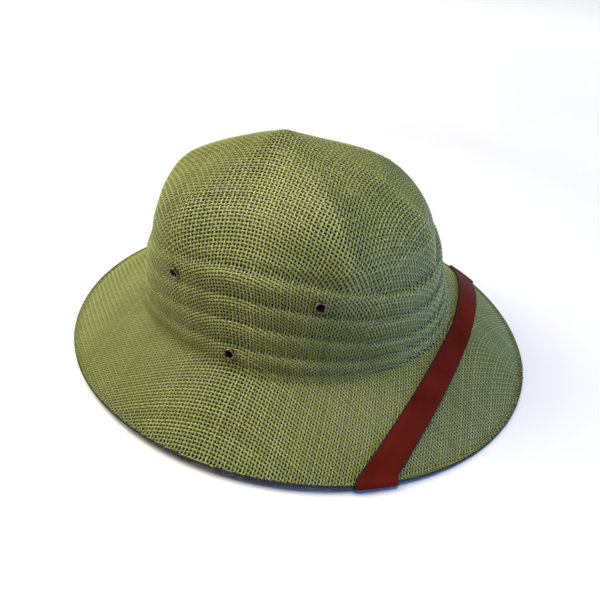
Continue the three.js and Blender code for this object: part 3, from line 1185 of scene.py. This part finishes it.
@dataclass
class BrimBinding:
    """The dark tape that binds the brim's edge: it lies under the straw's edge and turns up round
    the outside of it."""

    # Corners of the tape's section, as shares of the binding's width and height
    SECTION = (
        (1.0, 0.0), (1.0, 0.38), (0.2, 0.4), (0.13, 0.86),
        (0.06, 0.92), (0.0, 0.84), (0.0, 0.15), (0.14, 0.0))

    form: HatForm
    columns: int = 360
    finish: GrainFinish = EDGING_TAPE

    def build(self) -> Object:
        """Makes the tape.

        Returns:
            The piece.
        """
        angle = np.arange(self.columns) * (360 / self.columns)
        wide, high = self.form.binding_width, self.form.binding_height
        rings = [self.form.edge(angle, wide * inset, high * rise) for inset, rise in self.SECTION]
        faces = lattice_faces(len(rings), self.columns, wrap_columns=True, wrap_rows=True)
        points = np.array(rings).reshape(-1, 3)
        piece = new_piece("brim_edge_tape", points, faces.tolist(), [self.finish.material()])
        return seat(piece, "brim_edge_binding")


# Chin strap


@dataclass(frozen=True)
class StrapEdge:
    """A long edge of the strap: a parabola in plan across the front, from middle (its distance
    from the origin) with bend per square millimetre, to the angle where it goes over the brim's
    edge and back under the brim to the angle where it reaches the crease."""

    middle: float
    bend: float
    over_edge: float
    at_crease: float


@dataclass
class ChinStrap:
    """The flat strap over the front brim, whose ends run back under the brim into the crown."""

    form: HatForm
    inner: StrapEdge = StrapEdge(111.4, 0.00134, 57.5, 94)
    outer: StrapEdge = StrapEdge(124.3, 0.00125, 48, 83)
    thickness: float = 1.2
    clearance: float = 0.5
    end_rise: float = 4
    rounded_shares: tuple = (0, 0.012, 0.035)
    roundness: float = 0.94
    painted_share: float = 0.05
    flat_shares: tuple = (0.15, 0.85)
    flat_lines: int = 8
    front_steps: int = 70
    wrap_steps: int = 16
    under_steps: int = 40
    finish: LeatherFinish = field(default_factory=LeatherFinish)
    edge_finish: GrainFinish = EDGE_PAINT

    def build(self) -> Object:
        """Makes the strap.

        Returns:
            The piece, with leather faces and painted edges.
        """
        rim = np.array([*self.rounded_shares, self.painted_share])
        flat = np.linspace(*self.flat_shares, self.flat_lines)
        across = np.concatenate([rim, flat, 1 - rim[::-1]])
        from_edge = np.minimum(across, 1 - across) / self.rounded_shares[-1]
        round_off = np.sqrt(1 - np.clip(1 - from_edge, 0, self.roundness) ** 2)
        lines = [self.line(share) for share in across]
        middle = np.array([points for points, _ in lines])
        facing = np.array([ways for _, ways in lines])
        half = (self.thickness / 2 * round_off)[:, None, None]
        loop = np.concatenate([middle + facing * half, (middle - facing * half)[::-1]])
        columns, stations = loop.shape[:2]
        points = loop.swapaxes(0, 1).reshape(-1, 3)
        faces = lattice_faces(stations, columns, wrap_columns=True).tolist()
        last = stations * columns
        faces += [list(range(columns))[::-1], list(range(last - columns, last))]
        finishes = [self.finish.material(), self.edge_finish.material()]
        piece = new_piece("chin_strap_band", points, faces, finishes)
        shares = np.concatenate([across, across[::-1]])
        painted = np.minimum(shares, 1 - shares) <= self.painted_share
        rim_faces = painted & np.roll(painted, -1)
        slots = np.concatenate([np.tile(rim_faces, stations - 1), [True, True]])
        piece.data.polygons.foreach_set("material_index", slots.astype(np.int32))
        return seat(piece, "chin_strap")

    def line(self, share: float) -> tuple[np.ndarray, np.ndarray]:
        """One long line of the strap's middle layer.

        Args:
            share: how far across it lies, from 0 at the inner edge to 1 at the outer edge.

        Returns:
            Points from the right end to the left end, and the ways that the strap faces there.
        """
        edges = zip(astuple(self.inner), astuple(self.outer))
        edge = StrapEdge(*(a + (b - a) * share for a, b in edges))
        stretches = (self.over_brim(edge), self.round_edge(edge), self.under_brim(edge))
        points = np.concatenate([stretch[0] for stretch in stretches])
        facing = np.concatenate([stretch[1] for stretch in stretches])
        mirror = np.array([-1, 1, 1])
        whole = [np.concatenate([half[:0:-1] * mirror, half]) for half in (points, facing)]
        return whole[0], whole[1]

    def lifted(self, base: np.ndarray, facing: np.ndarray) -> tuple[np.ndarray, np.ndarray]:
        """Stations of the middle layer over a face that the strap lies on."""
        return base + facing * (self.clearance + self.thickness / 2), facing

    def over_brim(self, edge: StrapEdge) -> tuple[np.ndarray, np.ndarray]:
        """Stations across the front brim, from the middle to just short of the edge.

        Args:
            edge: the course of a long line.

        Returns:
            Points of the middle layer, and the ways that the strap faces there.
        """
        rim = self.form.brim(edge.over_edge, 1)
        miss = rim[1] + edge.middle - edge.bend * rim[0] ** 2
        share = np.linspace(0, 1, self.front_steps, endpoint=False)
        x = rim[0] * share
        angle, out = self.form.brim_place(x, edge.bend * x**2 - edge.middle + miss * share)
        return self.lifted(self.form.brim(angle, out), self.form.brim_up(angle, out))

    def round_edge(self, edge: StrapEdge) -> tuple[np.ndarray, np.ndarray]:
        """Stations half a turn round the bound edge.

        Args:
            edge: the course of a long line.

        Returns:
            Points of the middle layer, and the ways that the strap faces there.
        """
        form, angle = self.form, edge.over_edge
        up = form.brim_up(np.array(angle), np.array(1.0))
        outward = np.cross(unit(form.brim_along(angle, 1)), up)
        bead = form.edge(angle, form.binding_width / 2, form.binding_height / 2)
        turn = np.linspace(0, np.pi, self.wrap_steps + 1)[:, None]
        facing = up * np.cos(turn) + outward * np.sin(turn)
        reach = form.binding_height / 2 + self.clearance + self.thickness / 2
        return bead + facing * reach, facing

    def under_brim(self, edge: StrapEdge) -> tuple[np.ndarray, np.ndarray]:
        """Stations back under the brim, round its root and up inside the crown.

        Args:
            edge: the course of a long line.

        Returns:
            Points of the middle layer, and the ways that the strap faces there.
        """
        form = self.form
        share = np.linspace(0, 1, self.under_steps + 1)[1:]
        angle = edge.over_edge + (edge.at_crease - edge.over_edge) * share
        under, facing = self.lifted(
            form.brim(angle, 1 - share, form.straw_wall), -form.brim_up(angle, 1 - share))
        root = form.crease(edge.at_crease, form.straw_wall) - (0, 0, form.straw_wall)
        inward = unit(np.array([-root[0], -root[1], 0]))
        round_root = unit(inward + facing[-1])
        wall = form.crown(CROWN_SECTIONS[-1], np.array(edge.at_crease)) + inward * form.straw_wall
        wall[2] = root[2] + form.straw_wall + self.end_rise
        corner, corner_facing = self.lifted(root, round_root)
        end, end_facing = self.lifted(wall, inward)
        return np.vstack([under, corner, end]), np.vstack([facing, corner_facing, end_facing])


# Eyelets


@dataclass
class Eyelet:
    """A rolled bronze eyelet, set where its solid is."""

    DECIMALS = 3  # to which the solid's corners are told apart

    node: str
    middle: np.ndarray
    axis: np.ndarray
    inner_end: float
    outer_end: float
    hole: float = 2.6
    barrel: float = 2.9
    flange: float = 3.9
    lip: float = 0.8
    nearby: float = 4  # flange radii along the axis within which straw makes room
    sides: int = 40
    lip_steps: int = 9
    finish: BronzeFinish = field(default_factory=BronzeFinish)

    @classmethod
    def at(cls, node: str) -> "Eyelet":
        """Reads an eyelet's place and axis from its solid.

        The axis is the way in which the solid's spread differs from that in the other two.

        Args:
            node: the solid's name.

        Returns:
            The eyelet, not yet built.
        """
        points = np.array([vertex.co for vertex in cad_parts[node].data.vertices]) / MM
        points = np.unique(points.round(cls.DECIMALS), axis=0)
        middle = points.mean(axis=0)
        sizes, ways = np.linalg.eigh(np.cov((points - middle).T))
        odd = 0 if sizes[1] - sizes[0] > sizes[2] - sizes[1] else 2
        axis = ways[:, odd] * np.sign(ways[:2, odd] @ middle[:2])
        along = (points - middle) @ axis
        return cls(node, middle, axis, along.min(), along.max())

    def distance(self, points: np.ndarray) -> np.ndarray:
        """Measures from the eyelet's axis.

        Args:
            points: points on the hat.

        Returns:
            Their distances, endless for points away from the eyelet.
        """
        offset = points - self.middle
        along = offset @ self.axis
        aside = np.linalg.norm(offset - along[..., None] * self.axis, axis=-1)
        return np.where(np.abs(along) < self.nearby * self.flange, aside, np.inf)

    def profile(self) -> np.ndarray:
        """Draws the rolled section, once round.

        Returns:
            Radius and place along the axis per point.
        """
        turn = np.linspace(0, np.pi, self.lip_steps)
        reach = (self.flange - self.hole) / 2
        roll = np.stack([self.hole + reach * (1 - np.cos(turn)), self.lip * np.sin(turn)], axis=-1)
        front, back = self.outer_end - self.lip, self.inner_end + self.lip
        outer = roll + (0, front)
        inner = roll[::-1] * (1, -1) + (0, back)
        return np.concatenate([outer, [(self.barrel, front), (self.barrel, back)], inner])

    def build(self) -> Object:
        """Turns the eyelet.

        Returns:
            The piece.
        """
        aside = unit(np.cross(self.axis, (0, 0, 1)))
        above = np.cross(self.axis, aside)
        turn = np.arange(self.sides) * (2 * np.pi / self.sides)
        spokes = np.cos(turn)[:, None] * aside + np.sin(turn)[:, None] * above
        profile = self.profile()
        points = self.middle + profile[:, None, :1] * spokes + profile[:, None, 1:] * self.axis
        faces = lattice_faces(len(profile), self.sides, wrap_columns=True, wrap_rows=True)
        piece = new_piece(
            self.node + "_ring", points.reshape(-1, 3), faces.tolist(), [self.finish.material()])
        return seat(piece, self.node)


# Studio


@dataclass(frozen=True)
class Lamp:
    """A soft rectangular light that faces the hat."""

    name: str
    place: tuple
    size: float
    watts: float
    colour: tuple


@dataclass
class Studio:
    """The floor, the backdrop, the soft lights and the camera."""

    form: HatForm
    camera_place: tuple = (-353.77, -142.65, 314.0)
    camera_turn: float = -68.48
    camera_rise: float = 37.11
    camera_roll: float = 2.35
    focal_pixels: float = 657.5
    image_pixels: float = 600
    sensor: float = 36
    nearest_seen: float = 10
    floor_radius: float = 1500
    backdrop_radius: float = 2500
    backdrop_foot: float = -800
    backdrop_top: float = 1700
    aim: tuple = (0, 0, 60)
    sky: tuple = (1.0, 1.0, 1.0)
    sky_strength: float = 0.03
    lamps: tuple[Lamp, ...] = (
        # Name, place, size, watts and colour
        Lamp("top_light", (-130, -50, 1650), 900, 19.4, (1.0, 1.0, 0.98)),
        Lamp("rear_light", (-180, 1080, 1230), 900, 21.4, (1.0, 1.0, 0.95)),
        Lamp("cool_light", (150, -1300, 330), 560, 16.5, (0.12, 0.32, 1.0)),
    )
    card_inset: float = 3
    card_slope: float = 12
    card_rise: float = 0.05
    corners: int = 72
    floor_finish: FloorFinish = field(default_factory=FloorFinish)
    backdrop_finish: BackdropFinish = field(default_factory=BackdropFinish)
    # Painted shade: the dark card under the hat
    card_finish: FloorFinish = FloorFinish("painted_shade_dark", grey(0.012), grey(0.018))

    def build(self) -> None:
        """Sets up the floor, the backdrop, the lights and the camera."""
        self.lay_floor()
        self.hang_backdrop()
        self.light()
        self.place_camera()

    def angles(self) -> np.ndarray:
        """Angles of the corners of the floor, the card and the backdrop."""
        return np.arange(self.corners) * (360 / self.corners)

    def ring(self, radius: float, height: float) -> np.ndarray:
        """Points on a level circle round the hat."""
        angle = self.angles()
        return np.stack(
            [radius * sines(angle), radius * cosines(angle), np.full_like(angle, height)], axis=-1)

    def lay_floor(self) -> None:
        """Lays a pale floor, and a dark card on it under the hat: painted shade that keeps the
        inside dark.

        The card's rim rises with the lifted sides of the brim, just inside the bound edge.
        """
        disc = [list(range(self.corners))[::-1]]
        floor = new_piece(
            "floor", self.ring(self.floor_radius, 0), disc, [self.floor_finish.material()])
        angle = self.angles()
        flat = self.form.edge(angle, self.card_inset + self.card_slope)
        flat[:, 2] = self.card_rise
        rim = self.form.edge(angle, self.card_inset, self.card_rise)
        faces = lattice_faces(2, self.corners, wrap_columns=True).tolist() + disc
        card = new_piece(
            "painted_shade_card", np.concatenate([flat, rim]), faces, [self.card_finish.material()])

    def hang_backdrop(self) -> None:
        """Hangs a pale backdrop round the floor, which is seen and neither lights nor shades."""
        rings = [
            self.ring(self.backdrop_radius, height)
            for height in (self.backdrop_foot, self.backdrop_top)]
        faces = lattice_faces(2, self.corners, wrap_columns=True).tolist()
        backdrop = new_piece(
            "backdrop", np.concatenate(rings), faces, [self.backdrop_finish.material()])
        for ray in ("diffuse", "glossy", "transmission", "shadow"):
            setattr(backdrop, f"visible_{ray}", False)

    def light(self) -> None:
        """Adds the sky and the lamps, seen without a film curve."""
        world = bpy.data.worlds.new("studio_sky")
        world.use_nodes = True
        background = world.node_tree.nodes["Background"]
        background.inputs["Color"].default_value = (*self.sky, 1)
        background.inputs["Strength"].default_value = self.sky_strength
        bpy.context.scene.world = world
        bpy.context.scene.view_settings.view_transform = "Standard"
        for lamp in self.lamps:
            light = bpy.data.lights.new(lamp.name, "AREA")
            light.energy = lamp.watts
            light.size = lamp.size * MM
            light.color = lamp.colour
            holder = bpy.data.objects.new(lamp.name, light)
            holder.location = Vector(lamp.place) * MM
            aim = (Vector(self.aim) - Vector(lamp.place)).to_track_quat("-Z", "Y")
            holder.rotation_euler = aim.to_euler()
            bpy.context.scene.collection.objects.link(holder)

    def place_camera(self) -> None:
        """Sets the camera at the photograph's angle."""
        data = bpy.data.cameras.new("camera")
        data.sensor_width = self.sensor
        data.lens = self.focal_pixels / self.image_pixels * self.sensor
        data.clip_start = self.nearest_seen * MM
        camera = bpy.data.objects.new("camera", data)
        degrees = (self.camera_turn, self.camera_rise, self.camera_roll)
        turn, rise, roll = (math.radians(angle) for angle in degrees)
        flat = math.cos(rise)
        back = Vector((math.sin(turn) * flat, -math.cos(turn) * flat, math.sin(rise)))
        level = Vector((math.cos(turn), math.sin(turn), 0))
        upright = back.cross(level)
        right = level * math.cos(roll) + upright * math.sin(roll)
        up = upright * math.cos(roll) - level * math.sin(roll)
        pose = Matrix((right, up, back)).transposed().to_4x4()
        camera.matrix_world = Matrix.Translation(Vector(self.camera_place) * MM) @ pose
        bpy.context.scene.collection.objects.link(camera)
        bpy.context.scene.camera = camera


def main() -> None:
    """Builds the hat piece by piece and the studio around it."""
    logging.basicConfig(level=logging.INFO, format="%(message)s")
    form = HatForm()
    Studio(form).build()
    eyelets = [Eyelet.at(node) for node in sorted(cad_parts) if node.startswith("eyelet_")]
    for eyelet in eyelets:
        eyelet.build()
    StrawWeave(StrawSurface(form), eyelets).build()
    BrimBinding(form).build()
    ChinStrap(form).build()


if __name__ == "__main__":
    main()
